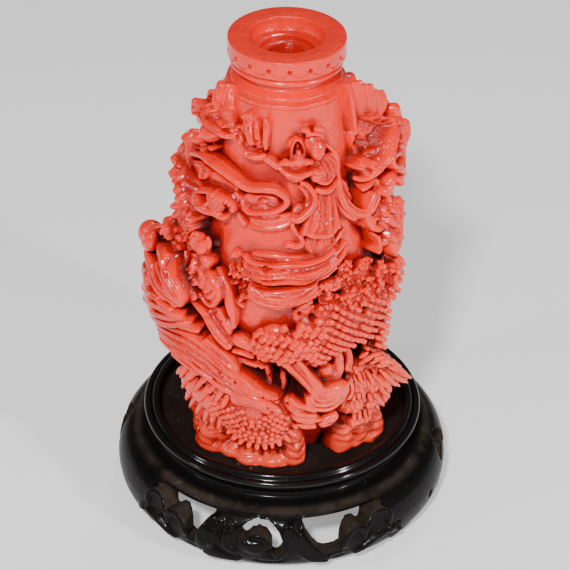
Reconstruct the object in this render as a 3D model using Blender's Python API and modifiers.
"""Carved coral flask on its pierced black wood stand.

Two pieces: the flask, hollow, with all its carving cut from the same coral, and
the turned and pierced stand that it rests on. Metres, +Z up, the origin at the
middle of the stand's underside. The front faces -Y.

Places on the flask are read as azimuth (degrees from the front, positive to the
viewer's right), height and stand-off from the vessel's wall, the last two in
millimetres.
"""
import math

import bmesh
import bpy
import numpy as np
from mathutils import Matrix, Vector

MM = 0.001

# Stand, in metres
STAND_RADIUS = 36.9 * MM
APRON_FOOT = 1.1 * MM
DISH_FLOOR = 17.5 * MM
RIM_TOP = 20.8 * MM
RIM_RADIUS = 30.9 * MM
STAND_SIDES = 48
MOUTH_SIDES = 34
HOLLOW_SIDES = 24
FOOT_AZIMUTHS = (-60, 50, 120, 230)
PANEL_AZIMUTHS = (-6, 174)
SIDE_PANEL_AZIMUTHS = (85, 265)

# Flask, in metres
REST_GAP = 0.3 * MM
FLASK_FOOT = DISH_FLOOR + REST_GAP
FLASK_TOP = 111.3 * MM
MOUTH_RADIUS = 12.0 * MM
MOUTH_UNDERSIDE = 107.1 * MM
LOWER_RING_RADIUS = 11.5 * MM
THROAT_RADIUS = 9.4 * MM
RECESS_RADIUS = 7.5 * MM
RECESS_DEPTH = 3.2 * MM
LEDGE_RADIUS = 5.6 * MM
LEDGE_DEPTH = 4.0 * MM
BORE_RADIUS = 3.8 * MM
WALL_THICKNESS = 2.6 * MM
CAVITY_FLOOR = 47.5 * MM

# Fusing the carving: cell of the voxel mesh and faces kept
CARVING_CELL = 0.62 * MM
CARVING_TRIANGLES = 4480
# Behind this the faces are kept fewer
HIDDEN_FROM = 6 * MM
# How far the back of a form goes into the turned body, in millimetres
ROOT_DEPTH = 0.8

# The wall that the carving stands on: height and radius in millimetres
WALL = ((17, 20.5), (45, 20.8), (50, 21.2), (55, 21.2), (60, 20.8), (65, 20.0), (70, 19.0),
        (75, 17.8), (80, 16.5), (85, 15.1), (90, 13.8), (95, 12.8), (98, 12.5), (112, 12.5))
# The turned body inside the carving: height and radius in millimetres
BODY = ((98.6, 12.3), (95, 12.8), (90, 13.8), (85, 15.1), (80, 16.5), (75, 17.8), (70, 19.0),
        (65, 20.0), (60, 20.8), (55, 21.1), (51, 20.8), (47, 18.8), (43, 15.6), (39, 15.2),
        (34, 15.8), (28, 16.0), (22, 16.6), (17.8, 15.4))

CORAL = (0.82, 0.13, 0.07, 1.0)
BLACK_WOOD = (0.016, 0.013, 0.012, 1.0)


def wall(height):
    heights, radii = zip(*WALL)
    return float(np.interp(height, heights, radii))


def rooting(height):
    """How far behind the wall a form is rooted at a height, in millimetres."""
    heights, radii = zip(*reversed(BODY))
    return max(0.0, wall(height) - float(np.interp(height, heights, radii))) + ROOT_DEPTH


def outward(azimuth):
    angle = math.radians(azimuth)
    return Vector((math.sin(angle), -math.cos(angle), 0.0))


def place(azimuth, height, off):
    """Point at a stand-off from the wall, in metres."""
    point = outward(azimuth) * (wall(height) + off)
    point.z = height
    return point * MM


def along(rows, times):
    """Rows of numbers read along the smooth curve through them, at times 0 to 1."""
    rows = np.array(rows, float)
    spans = len(rows) - 1
    ends = np.vstack([2 * rows[0] - rows[1], rows, 2 * rows[-1] - rows[-2]])
    result = []
    for time in times:
        index = min(int(time * spans), spans - 1)
        u = time * spans - index
        a, b, c, d = ends[index:index + 4]
        bend = (c - a) * u + (2 * a - 5 * b + 4 * c - d) * u * u + (3 * b - a - 3 * c + d) * u ** 3
        result.append(b + 0.5 * bend)
    return result


def strap(mesh, rows, depth, ridges=0, groove=0.45, turn=0, lift=0.0, sides=12, free=False):
    """A closed strip lying along the wall, its ends rounded.

    Rows hold azimuth, height, stand-off and width. Ridges run along its face,
    and turn and lift move the whole strip round and up the vessel. Unless it
    is free, its back reaches down into the wall.
    """
    rows = [(row[0] + turn, row[1] + lift, row[2], row[3]) for row in rows]
    points = [place(*row[:3]) for row in rows]
    length = sum((b - a).length for a, b in zip(points, points[1:]))
    cap = min(0.4, 0.5 * (rows[0][3] + rows[-1][3]) * 0.5 * MM / length)
    rounding = [cap * (1 - math.cos(math.radians(angle))) for angle in (25, 55, 80)]
    middle = list(np.linspace(cap, 1 - cap, 3 * len(rows)))
    times = rounding + middle + [1 - time for time in reversed(rounding)]
    if ridges:
        sides = max(sides, 8 * ridges)
    samples = along(rows, [0.0] + times + [1.0])
    centres = [place(*sample[:3]) for sample in samples]
    rings = []
    for index, time in enumerate(times, start=1):
        azimuth, width = samples[index][0], samples[index][3]
        run = (centres[index + 1] - centres[index - 1]).normalized()
        face = outward(azimuth)
        face = (face - run * face.dot(run)).normalized()
        across = run.cross(face)
        edge = min(time, 1 - time) / cap
        size = math.sqrt(max(0.0, 1 - (1 - min(edge, 1.0)) ** 2))
        ring = []
        for side in range(sides):
            angle = 2 * math.pi * side / sides
            x = math.copysign(abs(math.cos(angle)) ** 0.75, math.cos(angle))
            y = math.copysign(abs(math.sin(angle)) ** 0.75, math.sin(angle))
            if ridges and y > 0:
                y *= 1 - groove * 0.5 * (1 - math.cos(math.pi * ridges * (x + 1)))
            rise = y * depth * 0.5 * size
            if y < 0 and not free:
                rise += y * (samples[index][2] + rooting(samples[index][1])) * (0.5 + 0.5 * size)
            shift = across * (x * width * 0.5 * size) + face * rise
            ring.append(mesh.verts.new(centres[index] + shift * MM))
        rings.append(ring)
    tips = [mesh.verts.new(centres[0]), mesh.verts.new(centres[-1])]
    for lower, upper in zip(rings, rings[1:]):
        for side in range(sides):
            other = (side + 1) % sides
            mesh.faces.new((lower[side], lower[other], upper[other], upper[side]))
    for side in range(sides):
        other = (side + 1) % sides
        mesh.faces.new((tips[0], rings[0][other], rings[0][side]))
        mesh.faces.new((tips[1], rings[-1][side], rings[-1][other]))


def lump(mesh, azimuth, height, off, wide, tall, deep, spin=0, turn=0, free=False):
    """An egg by its half sizes in millimetres, its back reaching the wall unless it is free."""
    if not free and off > deep - rooting(height):
        off, deep = (off + deep - rooting(height)) / 2, (off + deep + rooting(height)) / 2
    face = outward(azimuth + turn)
    side = Vector((0, 0, 1)).cross(face) * -1
    basis = Matrix((side, Vector((0, 0, 1)), face)).transposed().to_4x4()
    sizes = Matrix.Diagonal((wide * MM, tall * MM, deep * MM, 1.0))
    where = Matrix.Translation(place(azimuth + turn, height, off))
    spun = Matrix.Rotation(math.radians(spin), 4, "Z")
    bmesh.ops.create_icosphere(mesh, subdivisions=2, radius=1.0, matrix=where @ basis @ spun @ sizes)


def finger(mesh, root, tip, radius, turn=0):
    """A blunt pointed finger between two places, such as a bundle of needles."""
    start = place(root[0] + turn, *root[1:])
    end = place(tip[0] + turn, *tip[1:])
    axis = end - start
    turned = axis.to_track_quat("Z", "Y").to_matrix().to_4x4()
    sizes = Matrix.Diagonal((radius * MM, radius * MM, axis.length * 0.55, 1.0))
    where = Matrix.Translation((start + end) * 0.5)
    bmesh.ops.create_icosphere(mesh, subdivisions=1, radius=1.0, matrix=where @ turned @ sizes)


def cloud_crest(mesh, turn=0):
    """Leafy cloud standing off the shoulder, with a curled head and a lip."""
    for azimuth, height, off, width in ((-85, 101.2, 1.8, 2.4), (-83, 99.2, 4.0, 3.0),
                                        (-81, 97.4, 6.4, 3.2), (-80, 93.8, 7.2, 3.4)):
        halfway = ((azimuth - 62) / 2, (height + 93) / 2, off * 0.6 + 0.8, 3.6)
        strap(mesh, [(-58, 93.2, 0.6, 3.6), halfway, (azimuth, height, off, width)], 2.2, turn=turn)
    lip = [(-78, 92.2, 5.6, 2.2), (-64, 92.4, 3.6, 2.4), (-52, 93.6, 1.8, 2.4), (-44, 93.6, 1.6, 2.2),
           (-37, 92.0, 2.0, 2.2), (-29, 90.6, 2.4, 2.2), (-19, 90.6, 2.2, 2.2), (-10, 89.4, 1.8, 2.0),
           (-2, 88.6, 1.8, 2.0)]
    strap(mesh, lip, 2.2, turn=turn)
    lump(mesh, -80, 89.8, 3.0, 1.8, 2.4, 2.2, turn=turn)
    for azimuth in (-33, -26, -19):
        strap(mesh, [(azimuth - 2, 97.4, 1.0, 2.4), (azimuth, 94, 1.2, 2.6), (azimuth, 91, 1.6, 2.2)], 2.4,
              turn=turn)


def cloud_ribbons(mesh, turn=0):
    """The long ribbon of cloud on the left with its rolled lobes."""
    rim = [(-88, 84.2, 4.2, 1.6), (-76, 84.0, 3.4, 1.8), (-62, 85.4, 2.4, 1.8), (-46, 85.2, 2.2, 1.8),
           (-34, 84.2, 2.2, 1.8), (-24, 83.6, 2.2, 1.8), (-10, 83.8, 2.0, 1.8), (0, 82.4, 2.0, 1.8),
           (-6, 80.8, 2.0, 1.8), (-18, 81.0, 1.8, 1.8)]
    strap(mesh, rim, 2.2, turn=turn)
    sheet = [(-84, 81.4, 2.6, 4.4), (-68, 81.4, 2.0, 5.0), (-50, 82.0, 1.4, 4.8), (-34, 82.4, 1.0, 3.6),
             (-18, 82.2, 1.0, 3.6), (-4, 82.2, 1.0, 3.0)]
    strap(mesh, sheet, 2.4, turn=turn)
    roll = [(-85, 76.2, 2.4, 3.8), (-68, 77.2, 2.8, 4.4), (-52, 78.4, 2.8, 4.4), (-39, 79.2, 2.4, 4.0)]
    strap(mesh, roll, 4.0, turn=turn)
    strap(mesh, [(-30, 81.6, 1.2, 2.6), (-30, 79.6, 1.4, 2.6), (-24, 77.8, 1.4, 2.8), (-12, 77.8, 1.6, 2.8),
                 (-1, 78.2, 1.6, 2.4)], 2.2, turn=turn)
    strap(mesh, [(-3, 87.4, 1.0, 2.0), (6, 86.2, 1.4, 2.8), (13, 84.0, 1.8, 3.4), (17, 81.4, 2.0, 3.4),
                 (12, 79.6, 2.0, 2.8), (4, 79.2, 1.8, 2.0)], 2.2, turn=turn)
    strap(mesh, [(4, 78.8, 1.2, 1.8), (5, 76.4, 0.9, 1.7), (9, 74.6, 0.9, 1.7), (10, 72.4, 1.0, 1.7),
                 (5, 71.8, 1.0, 1.7), (1, 71.6, 0.8, 1.6)], 1.8, turn=turn)


def left_fins(mesh, turn=0):
    """Serrated leaf sprays down the far left edge."""
    for index, off in enumerate((6.4, 7.2, 7.6, 8.4, 7.6, 5.8, 5.4, 5.2)):
        height = 87.6 - 3.0 * index
        finger(mesh, (-85, height + 1.0, 0.5), (-92, height - 0.8, off), 1.8, turn=turn)
    strap(mesh, [(-86, 84, 2.4, 2.4), (-86, 78, 3.0, 2.6), (-84, 72, 3.6, 2.8), (-80, 67, 3.6, 3.0)], 2.4,
          turn=turn)


def tray_maiden(mesh):
    """Standing maiden with two hair buns, holding out a tray of peaches."""
    lump(mesh, 21, 94.6, 3.2, 2.3, 3.2, 2.2)
    lump(mesh, 14, 97.6, 2.2, 1.3, 1.2, 1.4)
    lump(mesh, 25, 98.0, 2.2, 1.3, 1.2, 1.4)
    strap(mesh, [(24, 92.4, 1.6, 4.0), (28, 89.6, 1.8, 5.4), (28, 86.4, 1.8, 5.0)], 3.6)
    strap(mesh, [(20, 86.2, 2.2, 2.0), (28, 85.6, 2.6, 2.2), (36, 86.8, 2.2, 2.0)], 2.2)
    strap(mesh, [(26, 86.0, 1.4, 5.0), (25, 81.5, 1.6, 5.8), (23, 78.4, 1.8, 7.8), (23, 76.2, 2.2, 9.6)], 3.0,
          ridges=3)
    strap(mesh, [(22, 77, 0.8, 7.0), (21, 73, 1.0, 7.2), (19, 69, 1.6, 7.4)], 2.4, ridges=2)
    strap(mesh, [(-3, 89.6, 2.2, 1.8), (8, 88.8, 3.4, 3.4), (19, 89.8, 2.6, 2.2)], 2.0)
    lump(mesh, 0, 91.0, 2.0, 1.0, 1.0, 1.2)
    lump(mesh, 9, 91.4, 2.6, 1.5, 2.2, 1.5)
    strap(mesh, [(33, 94.0, 1.2, 1.8), (38, 92.0, 1.6, 1.8), (40, 89.4, 1.8, 2.0), (39, 86.6, 1.8, 2.2)], 1.8)
    loop = [(39, 86.0, 1.8, 2.6), (40, 82.4, 2.4, 3.0), (44, 79.4, 3.0, 3.2), (51, 78.0, 3.6, 3.0),
            (58, 79.8, 4.2, 2.4), (62, 83.4, 4.4, 2.0)]
    strap(mesh, loop, 2.4)


def cloak_fan(mesh, turn=0):
    """Fan of folded drapery on the right shoulder, its outer edge sweeping in."""
    for index in range(4):
        top = (86 + 1.5 * index, 101.2 - 1.8 * index, 2.0 + 2.0 * index, 2.8)
        middle = (77 + 1.5 * index, 96.2 - 1.2 * index, 2.0 + 1.9 * index, 3.2)
        foot = (67 + 2.4 * index, 91.0 - 0.4 * index, 1.6 + 1.1 * index, 2.6)
        strap(mesh, [top, middle, foot], 3.2, turn=turn)
    edge = [(89, 92.4, 7.8, 2.6), (84, 91.0, 8.9, 3.0), (76, 88.6, 9.0, 3.2), (68, 86.6, 7.6, 3.2),
            (61, 85.4, 5.8, 3.0), (53, 85.6, 3.6, 2.6)]
    strap(mesh, edge, 2.8, turn=turn)
    strap(mesh, [(62, 89.6, 1.4, 5.0), (70, 88.6, 3.4, 6.0), (80, 89.0, 5.8, 6.0)], 3.6, turn=turn)
    for height, off in ((88.8, 9.0), (86.2, 9.2), (83.4, 8.8)):
        lump(mesh, 91, height, off, 1.7, 1.6, 2.2, turn=turn)
    strap(mesh, [(88, 99.6, 1.4, 2.4), (89, 96.8, 4.2, 3.0), (90, 92.4, 6.8, 3.4), (92, 86, 7.6, 4.0),
                 (90, 78, 6.2, 4.0)], 3.2, turn=turn)


def right_folds(mesh, turn=0):
    """Flowing folds down the right side below the fan."""
    strap(mesh, [(66, 84.4, 4.6, 2.6), (71, 79.6, 5.4, 3.0), (72, 74, 5.2, 3.2), (70, 68, 4.0, 3.0)], 3.6,
          turn=turn)
    strap(mesh, [(78, 84.0, 5.6, 3.0), (80, 78, 5.4, 3.8), (80, 71, 4.4, 4.0), (78, 64, 3.6, 4.0)], 3.6,
          ridges=2, turn=turn)
    strap(mesh, [(60, 78.6, 3.8, 2.4), (65, 75, 4.0, 2.6), (67, 71, 3.4, 2.4)], 2.6, turn=turn)
    for height, off in ((81, 6.8), (76, 6.0), (71, 4.2), (66, 4.8), (61, 3.2), (52, 2.6), (47, 0.4)):
        lump(mesh, 91, height, off, 2.2, 2.6, 2.4, turn=turn)


def old_man(mesh):
    """Bearded old man leaning out at the far left in a long folded robe."""
    lump(mesh, -76, 67.6, 8.8, 2.8, 3.4, 2.8)
    lump(mesh, -78, 62.6, 8.4, 2.6, 1.6, 2.0)
    robe = [(-76, 62.4, 6.2, 7.0), (-72, 57, 7.4, 9.0), (-65, 51.5, 7.2, 9.5), (-58, 46.6, 6.0, 8.5)]
    strap(mesh, robe, 4.8, ridges=4)
    strap(mesh, [(-64, 66.0, 6.4, 3.0), (-60, 61, 6.8, 4.0), (-55, 56, 6.4, 3.6), (-53, 52.4, 5.4, 2.6)], 3.8)
    strap(mesh, [(-90, 62, 5.4, 6.0), (-88, 54, 6.8, 8.0), (-80, 46, 6.4, 8.0)], 5.4, ridges=3)


def second_maiden(mesh):
    """Smaller maiden at the left front, a sleeve hanging before her robe."""
    lump(mesh, -47, 72.4, 3.4, 1.9, 2.6, 1.9)
    lump(mesh, -51, 74.6, 2.8, 1.3, 1.2, 1.4)
    strap(mesh, [(-45, 70, 2.6, 3.4), (-40, 67, 3.2, 4.8), (-38, 63.6, 3.4, 4.6)], 3.6)
    strap(mesh, [(-41, 66, 4.4, 3.4), (-42, 62.4, 5.0, 4.6), (-39, 58.6, 4.6, 3.2)], 3.2, ridges=2)
    strap(mesh, [(-38, 60, 3.0, 4.0), (-34, 55.6, 3.4, 4.8), (-30, 51.6, 3.4, 4.8)], 3.4, ridges=2)
    strap(mesh, [(-46, 68, 3.8, 2.0), (-54, 66.6, 4.4, 2.0)], 2.2)
    lump(mesh, -54, 66.4, 4.8, 1.3, 1.3, 1.3)
    strap(mesh, [(-62, 62, 4.0, 1.8), (-51, 58, 4.4, 1.9), (-41, 52.6, 4.4, 2.0), (-31, 48.2, 4.0, 2.2),
                 (-20, 47.6, 3.2, 2.6), (-10, 47.4, 2.6, 2.2)], 2.4)


def cloud_slabs(mesh, turn=0, lift=0.0):
    """Two thick grooved bands of cloud across the front."""
    upper = [(-25, 69.0, 1.4, 4.0), (-14, 68.0, 2.2, 5.2), (0, 67.6, 2.6, 5.4), (14, 68.0, 2.6, 5.0),
             (27, 69.4, 2.4, 4.2), (38, 71.8, 1.8, 2.6)]
    strap(mesh, upper, 3.6, ridges=4, turn=turn, lift=lift)
    lower = [(-18, 63.8, 2.4, 3.4), (-8, 62.8, 3.2, 4.2), (4, 62.8, 3.4, 4.2), (14, 64.0, 2.8, 3.4)]
    strap(mesh, lower, 3.8, ridges=3, turn=turn, lift=lift)


def pine_pads(mesh, turn=0):
    """Pads of pine on the right, their rows of needle blocks as ridges."""
    for row in range(5):
        start = 58.6 - 2.4 * row
        rows = [(19 - 2 * row, start + 1.2, 2.0, 2.4), (33, start + 0.4, 3.4, 2.6),
                (47, start + 1.0, 3.6, 2.6), (58 - 2 * row, start + 2.6, 3.0, 2.2)]
        strap(mesh, rows, 3.4, turn=turn)
    strap(mesh, [(27, 63.4, 1.6, 3.6), (40, 64.2, 3.0, 5.4), (54, 65.2, 3.4, 6.0), (66, 66.0, 3.2, 5.0)], 3.4,
          turn=turn)
    strap(mesh, [(40, 68.6, 1.0, 3.0), (54, 69.6, 2.0, 4.4), (68, 70.6, 2.2, 4.0)], 2.6, turn=turn)
    for azimuth, height, off, wide, tall in ((-8, 50.6, 3.4, 3.6, 3.4), (3, 52.4, 3.6, 3.6, 3.2),
                                             (14, 51.4, 3.4, 3.4, 3.0), (8, 57.0, 2.6, 2.8, 2.4)):
        lump(mesh, azimuth, height, off, wide, tall, 2.2, turn=turn)
    for index in range(5):
        height = 63.6 - 2.6 * index
        finger(mesh, (68, height + 1.2, 2.4), (77 - 2 * index, height, 6.0 - 0.6 * index), 1.6, turn=turn)


def trunks(mesh):
    """Branch, stump and ball below the pads, and the long grooved trunk on the left."""
    strap(mesh, [(0, 47.6, 1.6, 2.6), (7, 44.4, 3.0, 3.0), (14, 41.2, 3.4, 3.2), (24, 38.6, 3.4, 4.0),
                 (34, 37.4, 3.0, 4.0)], 3.2)
    lump(mesh, 28, 41.6, -1.6, 2.2, 2.4, 2.2)
    strap(mesh, [(30, 50.0, 1.4, 2.6), (31, 45.4, 1.2, 2.6), (30, 41.0, 0.8, 3.0)], 3.0)
    strap(mesh, [(45, 49.0, 0.6, 4.0), (44, 44.0, 0.4, 4.0), (40, 39.0, 0.6, 4.0)], 4.0)
    strap(mesh, [(0, 35.4, 2.8, 6.0), (12, 33.2, 4.0, 7.4), (26, 32.8, 4.4, 8.0), (38, 34.4, 3.6, 6.5)], 4.6,
          ridges=3)
    trunk = [(-84, 46.0, 4.6, 6.0), (-70, 45.4, 5.4, 7.2), (-54, 44.6, 5.0, 8.0), (-38, 43.6, 4.2, 7.2),
             (-22, 41.0, 3.8, 5.6), (-6, 38.4, 3.4, 4.2)]
    strap(mesh, trunk, 4.6, ridges=3)


def lower_pines(mesh, turn=0):
    """Sprays of needle fingers at the lower left and the beaded pad beside them."""
    for index in range(8):
        azimuth = -61 + 4.1 * index
        height = 28.2 + 7.0 * (1 - index / 7) ** 2
        finger(mesh, (azimuth + 4, height + 4.6, 1.6), (azimuth, height - 0.8, 5.8), 1.6, turn=turn)
    strap(mesh, [(-60, 37.4, 1.4, 4.0), (-47, 35.2, 2.0, 5.0), (-34, 33.4, 2.4, 5.0)], 3.2, turn=turn)
    lump(mesh, -12, 30.2, 3.4, 6.4, 5.2, 2.6, turn=turn)
    for index in range(9):
        azimuth = -29 + 4.2 * index
        height = 26.8 - 2.6 * math.sin(math.pi * (index + 0.6) / 10)
        finger(mesh, (azimuth, height + 2.4, 4.4), (azimuth, height - 0.8, 5.6), 1.1, turn=turn)


def right_pines(mesh, turn=0):
    """Ragged clumps of needles at the lower right, reaching out over the dish."""
    for azimuth, height, off, width in ((48, 41.6, 1.6, 3.0), (56, 38.2, 4.0, 3.8), (61, 34.4, 5.2, 4.4)):
        lump(mesh, azimuth, height, off, width, 3.2, 2.2, turn=turn)
    for tip in ((57, 41.0, 5.4), (62.5, 38.6, 6.4), (67, 36.0, 7.4), (71, 33.0, 9.0), (67, 31.2, 8.2),
                (61, 29.4, 7.4)):
        finger(mesh, (tip[0] - 10, tip[1] + 0.8, 1.6), tip, 1.9, turn=turn)
    for index in range(4):
        tip = (62 - 6.5 * index, 26.6 - 0.4 * index, 6.0 - 0.7 * index)
        finger(mesh, (tip[0] - 1, tip[1] + 3.6, 2.6), tip, 1.8, turn=turn)
    strap(mesh, [(36, 29.4, 2.4, 4.0), (46, 28.4, 2.8, 4.4), (58, 28.8, 3.2, 4.0)], 3.0, ridges=2, turn=turn)


def rock_foot(mesh):
    """Lobed rock that the flask stands on, flat beneath, notched at the front right."""
    lobes = ((-74, 21.0, 3.6, 21.5), (-58, 22.4, 3.8, 21), (-47, 24.2, 4.2, 20), (-33, 22.4, 3.8, 21),
             (-20, 23.2, 4.2, 19.6), (-6, 22.8, 4.2, 20.4), (7, 22.2, 3.2, 19.6), (42, 22.2, 3.2, 20),
             (52, 23.2, 3.2, 21), (63, 24.8, 4.0, 20), (82, 20.4, 3.4, 22), (101, 23.0, 4.4, 20),
             (121, 20.6, 3.4, 23), (138, 22.6, 4.6, 21), (160, 21.0, 3.6, 20), (178, 23.4, 4.8, 22),
             (200, 20.8, 3.4, 20), (217, 22.8, 4.4, 22.5), (238, 21.2, 3.8, 20), (259, 22.6, 4.2, 22))
    for azimuth, reach, width, height in lobes:
        depth = 0.5 * (reach - 13)
        lump(mesh, azimuth, height, reach - depth - wall(height), width, 27 - height, depth, free=True)


def cut_flat_below(mesh, height):
    """Everything under a height goes, and the cut is closed."""
    geometry = mesh.verts[:] + mesh.edges[:] + mesh.faces[:]
    cut = bmesh.ops.bisect_plane(mesh, geom=geometry, plane_co=(0, 0, height), plane_no=(0, 0, -1),
                                 clear_outer=True)
    edges = [item for item in cut["geom_cut"] if isinstance(item, bmesh.types.BMEdge)]
    bmesh.ops.contextual_create(mesh, geom=edges)


def back_carving(mesh):
    """The hidden side, plainer: clouds above, slabs and sprays between, pines below."""
    cloud_ribbons(mesh, turn=205)
    cloud_ribbons(mesh, turn=262)
    cloud_slabs(mesh, turn=126, lift=6.0)
    cloud_slabs(mesh, turn=180, lift=1.0)
    cloud_slabs(mesh, turn=232, lift=-3.0)
    pine_pads(mesh, turn=94)
    pine_pads(mesh, turn=166)
    lower_pines(mesh, turn=-118)
    lower_pines(mesh, turn=190)
    right_pines(mesh, turn=72)
    right_pines(mesh, turn=150)
    trunk = [(100, 37, 0.2, 3.5), (114, 40.4, 2.0, 5.5), (134, 43.6, 2.8, 6.5), (158, 41.0, 2.2, 5.0),
             (176, 36.0, 1.6, 4.0)]
    strap(mesh, trunk, 3.6, ridges=2)
    trunk = [(276, 42.6, 4.4, 6.5), (256, 40.4, 2.8, 6.5), (236, 42.6, 2.6, 5.5), (220, 46.6, 2.4, 4.5)]
    strap(mesh, trunk, 3.6, ridges=2)
    for azimuth, height in ((112, 97.0), (140, 93.4), (168, 96.6), (198, 94.0), (226, 97.2)):
        strap(mesh, [(azimuth - 12, height - 0.6, 0.4, 2.4), (azimuth, height + 1.0, 1.8, 3.6),
                     (azimuth + 12, height - 1.0, 1.2, 2.6)], 2.4)


def mesh_object(name, mesh):
    bmesh.ops.recalc_face_normals(mesh, faces=mesh.faces)
    data = bpy.data.meshes.new(name)
    mesh.to_mesh(data)
    mesh.free()
    return bpy.data.objects.new(name, data)


def turned(name, outline, sides):
    """A turned piece from radii and heights in metres, listed from top to bottom."""
    data = bpy.data.meshes.new(name)
    points = [(radius, 0.0, height) for radius, height in outline]
    data.from_pydata(points, [(i, i + 1) for i in range(len(points) - 1)], [])
    piece = bpy.data.objects.new(name, data)
    screw = piece.modifiers.new("Turn", "SCREW")
    screw.steps = sides
    screw.render_steps = sides
    screw.use_merge_vertices = True
    screw.merge_threshold = 0.00001
    screw.use_smooth_shade = True
    return piece


def baked(piece):
    """The piece's evaluated mesh in place of its modifiers."""
    bpy.context.view_layer.update()
    depsgraph = bpy.context.evaluated_depsgraph_get()
    data = bpy.data.meshes.new_from_object(piece.evaluated_get(depsgraph))
    piece.modifiers.clear()
    piece.data = data
    return piece


def combine(piece, other, operation):
    boolean = piece.modifiers.new(operation.title(), "BOOLEAN")
    boolean.operation = operation
    boolean.solver = "EXACT"
    boolean.object = other


def material(name, colour, roughness):
    finish = bpy.data.materials.new(name)
    finish.use_nodes = True
    shader = finish.node_tree.nodes["Principled BSDF"]
    shader.inputs["Base Color"].default_value = colour
    shader.inputs["Roughness"].default_value = roughness
    shader.inputs["Metallic"].default_value = 0.0
    return finish


def new_collection(name):
    collection = bpy.data.collections.new(name)
    bpy.context.scene.collection.children.link(collection)
    return collection


def as_guide(piece, collection):
    collection.objects.link(piece)
    piece.hide_render = True
    piece.display_type = "WIRE"
    return piece


def keep_largest_shell(mesh):
    """Crumbs left loose by the voxel mesh go."""
    left = set(mesh.verts)
    shells = []
    while left:
        stack = [left.pop()]
        shell = set(stack)
        while stack:
            for edge in stack.pop().link_edges:
                for vert in edge.verts:
                    if vert in left:
                        left.discard(vert)
                        shell.add(vert)
                        stack.append(vert)
        shells.append(shell)
    largest = max(shells, key=len)
    loose = [vert for shell in shells if shell is not largest for vert in shell]
    bmesh.ops.delete(mesh, geom=loose, context="VERTS")


def carved_body(guides):
    """Turned body and all its carving, fused in one closed mesh."""
    outline = [(radius * MM, height * MM) for height, radius in BODY]
    outline = [(0.0, outline[0][1])] + outline + [(0.0, outline[-1][1])]
    body = turned("body core", outline, 64)
    as_guide(body, guides)
    baked(body)
    mesh = bmesh.new()
    mesh.from_mesh(body.data)
    cloud_crest(mesh)
    cloud_ribbons(mesh)
    left_fins(mesh)
    tray_maiden(mesh)
    cloak_fan(mesh)
    right_folds(mesh)
    old_man(mesh)
    second_maiden(mesh)
    cloud_slabs(mesh)
    pine_pads(mesh)
    trunks(mesh)
    lower_pines(mesh)
    right_pines(mesh)
    rock_foot(mesh)
    back_carving(mesh)
    carving = as_guide(mesh_object("carving", mesh), guides)
    bpy.data.objects.remove(body)
    remesh = carving.modifiers.new("Fuse", "REMESH")
    remesh.mode = "VOXEL"
    remesh.voxel_size = CARVING_CELL
    remesh.use_smooth_shade = True
    baked(carving)
    mesh = bmesh.new()
    mesh.from_mesh(carving.data)
    keep_largest_shell(mesh)
    bmesh.ops.triangulate(mesh, faces=mesh.faces)
    count = len(mesh.faces)
    mesh.to_mesh(carving.data)
    mesh.free()
    hidden = carving.vertex_groups.new(name="hidden side")
    for vert in carving.data.vertices:
        hidden.add([vert.index], 0.62 if vert.co.y > HIDDEN_FROM else 0.44, "REPLACE")
    decimate = carving.modifiers.new("Fewer faces", "DECIMATE")
    decimate.ratio = CARVING_TRIANGLES / count
    decimate.use_collapse_triangulate = True
    decimate.vertex_group = hidden.name
    decimate.vertex_group_factor = 1.0
    baked(carving)
    mesh = bmesh.new()
    mesh.from_mesh(carving.data)
    cut_flat_below(mesh, FLASK_FOOT)
    bmesh.ops.triangulate(mesh, faces=mesh.faces)
    bmesh.ops.recalc_face_normals(mesh, faces=mesh.faces)
    mesh.to_mesh(carving.data)
    mesh.free()
    return carving


def mouth_outline():
    return [(0.0, FLASK_TOP), (MOUTH_RADIUS, FLASK_TOP), (MOUTH_RADIUS, MOUTH_UNDERSIDE + 0.3 * MM),
            (MOUTH_RADIUS - 0.8 * MM, MOUTH_UNDERSIDE), (LOWER_RING_RADIUS, MOUTH_UNDERSIDE - 0.5 * MM),
            (LOWER_RING_RADIUS, 105.4 * MM), (LOWER_RING_RADIUS - 0.6 * MM, 105.0 * MM),
            (THROAT_RADIUS, 104.6 * MM), (THROAT_RADIUS, 103.4 * MM), (10.9 * MM, 102.8 * MM),
            (11.3 * MM, 101.8 * MM), (12.0 * MM, 101.4 * MM), (12.4 * MM, 100.6 * MM),
            (12.8 * MM, 100.2 * MM), (12.8 * MM, 98.2 * MM), (10.6 * MM, 97.2 * MM), (0.0, 97.2 * MM)]


def hollow_outline():
    """Recess, ledge, bore and cavity, from above the mouth down to the floor inside."""
    heights = np.linspace(94.0, 58.0, 5)
    sides = [((wall(height) * MM - WALL_THICKNESS), height * MM) for height in heights]
    return [(0.0, FLASK_TOP + 2 * MM), (RECESS_RADIUS, FLASK_TOP + 2 * MM),
            (RECESS_RADIUS, FLASK_TOP - RECESS_DEPTH), (LEDGE_RADIUS, FLASK_TOP - RECESS_DEPTH),
            (LEDGE_RADIUS, FLASK_TOP - LEDGE_DEPTH), (BORE_RADIUS, FLASK_TOP - LEDGE_DEPTH),
            (BORE_RADIUS, 99.5 * MM), (7.4 * MM, 97.0 * MM)] + sides + [
            (17.2 * MM, 53.5 * MM), (13.5 * MM, 49.6 * MM), (7.5 * MM, CAVITY_FLOOR + 0.4 * MM),
            (0.0, CAVITY_FLOOR)]


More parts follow.
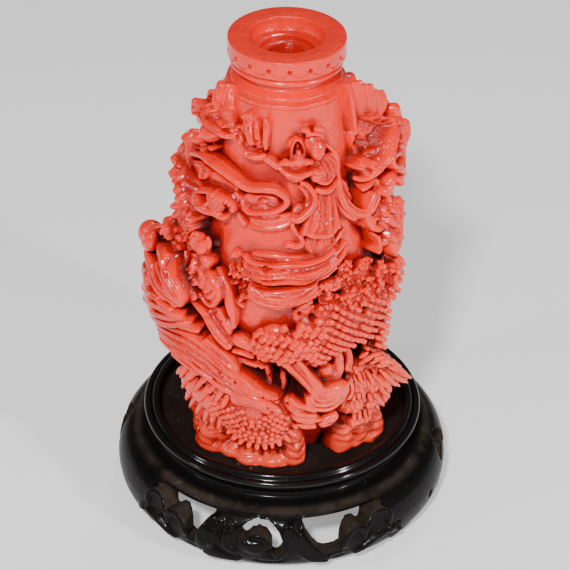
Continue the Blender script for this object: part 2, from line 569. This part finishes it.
def make_flask(parts, guides):
    carving = carved_body(guides)
    mouth = as_guide(turned("mouth and shoulder", mouth_outline(), MOUTH_SIDES), guides)
    hollow = as_guide(turned("hollow", hollow_outline(), HOLLOW_SIDES), guides)
    baked(mouth)
    baked(hollow)
    flask = bpy.data.objects.new("flask", carving.data)
    parts.objects.link(flask)
    bpy.data.objects.remove(carving)
    combine(flask, mouth, "UNION")
    combine(flask, hollow, "DIFFERENCE")
    flask.data.materials.append(material("carved coral", CORAL, 0.28))
    flask.data.shade_smooth()
    flask.data.set_sharp_from_angle(angle=math.radians(40))


def stand_outline():
    """Dish, double bead, waist, ledge and bulging apron, then back up its inside."""
    top = [(0.0, 17.5), (26.4, 17.5), (27.3, 18.4), (27.5, 20.2), (28.3, 20.8), (29.1, 20.4), (29.3, 19.9),
           (29.9, 20.2), (30.8, 19.5), (30.6, 18.6), (29.4, 17.7), (28.8, 16.2), (29.4, 15.1), (31.4, 14.5),
           (33.0, 13.6)]
    apron = [(35.0, 12.2), (36.4, 9.8), (36.9, 7.0), (36.6, 4.0), (35.6, 1.8), (34.6, 1.1)]
    inside = [(32.4, 1.1), (33.0, 4.0), (33.2, 7.0), (32.2, 10.0), (30.4, 11.4), (28.0, 12.4), (0.0, 13.0)]
    return [(radius * MM, height * MM) for radius, height in top + apron + inside]


def opening(name, outline, centre, inner, outer, guides):
    """Cutter through the apron from azimuths and heights in degrees and millimetres."""
    mesh = bmesh.new()
    shells = []
    for radius in (inner, outer):
        ring = []
        for azimuth, height in outline:
            point = outward(centre + azimuth) * (radius * MM)
            point.z = height * MM
            ring.append(mesh.verts.new(point))
        shells.append(ring)
    count = len(outline)
    mesh.faces.new(shells[0])
    mesh.faces.new(shells[1])
    for index in range(count):
        other = (index + 1) % count
        mesh.faces.new((shells[0][index], shells[0][other], shells[1][other], shells[1][index]))
    bmesh.ops.triangulate(mesh, faces=mesh.faces)
    return as_guide(mesh_object(name, mesh), guides)


def foot(name, azimuth, guides):
    """Small wedge foot under the apron."""
    mesh = bmesh.new()
    size = Matrix.Diagonal((8.0 * MM, 2.6 * MM, 3.4 * MM, 1.0))
    where = Matrix.Translation(outward(azimuth) * 34.6 * MM + Vector((0, 0, 1.7 * MM)))
    turned_to = Matrix.Rotation(math.radians(azimuth), 4, "Z")
    bmesh.ops.create_cube(mesh, size=1.0, matrix=where @ turned_to @ size)
    return as_guide(mesh_object(name, mesh), guides)


# Radii that the cutters of the openings run between, in millimetres
CUTTER_REACH = (27.5, 40.0)
# Openings in the apron: azimuth from the panel's middle and height, degrees and millimetres
SCROLL_OPENING = ((14.5, 13.0), (44, 13.0), (44, 12.0), (37.5, 11.2), (35.5, 9.4), (31.5, 9.8), (28.8, 8.0),
                  (27, 5.8), (20.5, 5.2), (16.2, 8.4))
CRESCENT = ((-8, 9.4), (-6, 11.6), (-2.5, 12.8), (2, 12.5), (5.5, 11), (7, 8.5), (6.3, 6), (4, 4.8),
            (2.5, 5.6), (3.5, 7.4), (1.5, 9.2), (-2, 10.2), (-5.5, 9.4))


def make_stand(parts, guides):
    stand = turned("stand", stand_outline(), STAND_SIDES)
    parts.objects.link(stand)
    baked(stand)
    for index, azimuth in enumerate(FOOT_AZIMUTHS):
        combine(stand, foot(f"foot {index}", azimuth, guides), "UNION")
    mirrored = tuple((-azimuth, height) for azimuth, height in reversed(SCROLL_OPENING))
    for index, azimuth in enumerate(PANEL_AZIMUTHS):
        for side, outline in (("right", SCROLL_OPENING), ("left", mirrored), ("middle", CRESCENT)):
            cutter = opening(f"{side} opening {index}", outline, azimuth, *CUTTER_REACH, guides)
            combine(stand, cutter, "DIFFERENCE")
    for index, azimuth in enumerate(SIDE_PANEL_AZIMUTHS):
        cutter = opening(f"side opening {index}", CRESCENT, azimuth, *CUTTER_REACH, guides)
        combine(stand, cutter, "DIFFERENCE")
    stand.data.materials.append(material("black wood", BLACK_WOOD, 0.3))
    stand.data.shade_smooth()
    stand.data.set_sharp_from_angle(angle=math.radians(40))


def main():
    for leftover in list(bpy.data.objects):
        bpy.data.objects.remove(leftover)
    parts = new_collection("coral flask")
    guides = new_collection("cutters and guides")
    make_stand(parts, guides)
    make_flask(parts, guides)


main()
